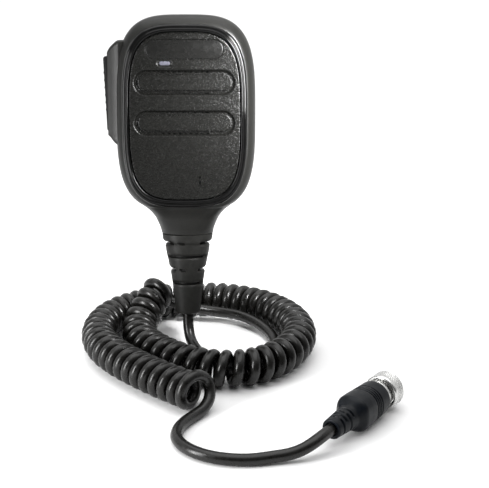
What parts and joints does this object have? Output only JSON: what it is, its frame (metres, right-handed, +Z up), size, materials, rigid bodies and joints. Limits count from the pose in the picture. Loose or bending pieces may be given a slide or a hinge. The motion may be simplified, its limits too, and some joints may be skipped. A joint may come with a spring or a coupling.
{
  "type": "hand microphone",
  "caption": "Hand microphone with a side push-to-talk button, a speaker panel, a magnetic holder, a curly cord and a screw-lock plug.",
  "frame": {"origin": "centre of the rear adhesive face of the magnetic holder", "axes": "+Z up, +X to the right seen from the front, -Y towards the front; the microphone leans back by 10 degrees"},
  "size_m": [0.1513, 0.1715, 0.1623],
  "materials": {
    "case_black": "matte",
    "gloss_black": "gloss",
    "panel_black": "grained satin",
    "plate_black": "satin",
    "light_lens": "satin",
    "light_chip": "satin",
    "speaker_cloth": "matte",
    "speaker_steel": "satin",
    "speaker_cone_paper": "matte",
    "soft_rubber": "matte",
    "capsule_can": "satin",
    "board_green": "satin",
    "header_nylon": "satin",
    "shell_black": "matte",
    "plate_grey": "satin",
    "label_orange": "satin",
    "screw_zinc": "satin",
    "seal_silicone": "matte",
    "ptt_rubber": "satin",
    "switch_steel": "satin",
    "boot_rubber": "matte",
    "cord_jacket": "satin",
    "holder_black": "matte",
    "magnet_nickel": "polished",
    "adhesive_foam": "matte",
    "holder_rubber": "matte",
    "plug_mould": "satin",
    "plug_metal": "satin",
    "insulator_black": "satin",
    "contact_gold": "polished"
  },
  "bodies": {
    "holder": {"holder_body": "holder_black", "holder_face": "holder_rubber", "holder_magnet": "magnet_nickel", "holder_adhesive": "adhesive_foam"},
    "microphone": {"front_case": "case_black", "gloss_bezel": "gloss_black", "front_panel": "panel_black", "name_plate": "plate_black", "led_light_pipe": "light_lens", "status_led": "light_chip", "speaker_membrane": "speaker_cloth", "speaker_frame": "speaker_steel", "speaker_cone": "speaker_cone_paper", "speaker_magnet": "speaker_steel", "mic_boot": "soft_rubber", "mic_capsule": "capsule_can", "circuit_board": "board_green", "board_header": "header_nylon", "rear_shell": "shell_black", "rear_plate": "plate_grey", "rear_label": "label_orange", "case_screw_1": "screw_zinc", "case_screw_2": "screw_zinc", "case_screw_3": "screw_zinc", "case_screw_4": "screw_zinc", "seal_ring": "seal_silicone", "ptt_housing": "case_black", "ptt_membrane": "soft_rubber", "ptt_switch": "switch_steel", "strain_relief": "boot_rubber", "inner_lead": "cord_jacket", "cord_lead": "cord_jacket", "cord_coil": "cord_jacket", "cord_tail": "cord_jacket", "plug_overmould": "plug_mould", "plug_sleeve": "plug_metal", "plug_insert": "insulator_black", "plug_contact_1": "contact_gold", "plug_contact_2": "contact_gold", "plug_contact_3": "contact_gold", "plug_contact_4": "contact_gold", "plug_contact_5": "contact_gold"},
    "ptt_button": {"ptt_button": "ptt_rubber"},
    "coupling_nut": {"plug_nut": "plug_metal"}
  },
  "joints": [
    {"name": "holder_pull_off", "type": "slide", "parent": "holder", "child": "microphone", "axis": [0, -0.9848, 0.1736], "range_m": [0, 0.05]},
    {"name": "ptt_press", "type": "hinge", "parent": "microphone", "child": "ptt_button", "pos_m": [-0.0356, -0.03189, -0.00291], "axis": [0, 0.9848, -0.1736], "range_deg": [0, 2.3], "stiffness_Nm_per_rad": 1.5, "springref_deg": -1.15},
    {"name": "nut_spin", "type": "hinge", "parent": "microphone", "child": "coupling_nut", "pos_m": [0.09013, -0.11266, -0.1038], "axis": [0.5878, 0.809, 0], "continuous": true}
  ]
}
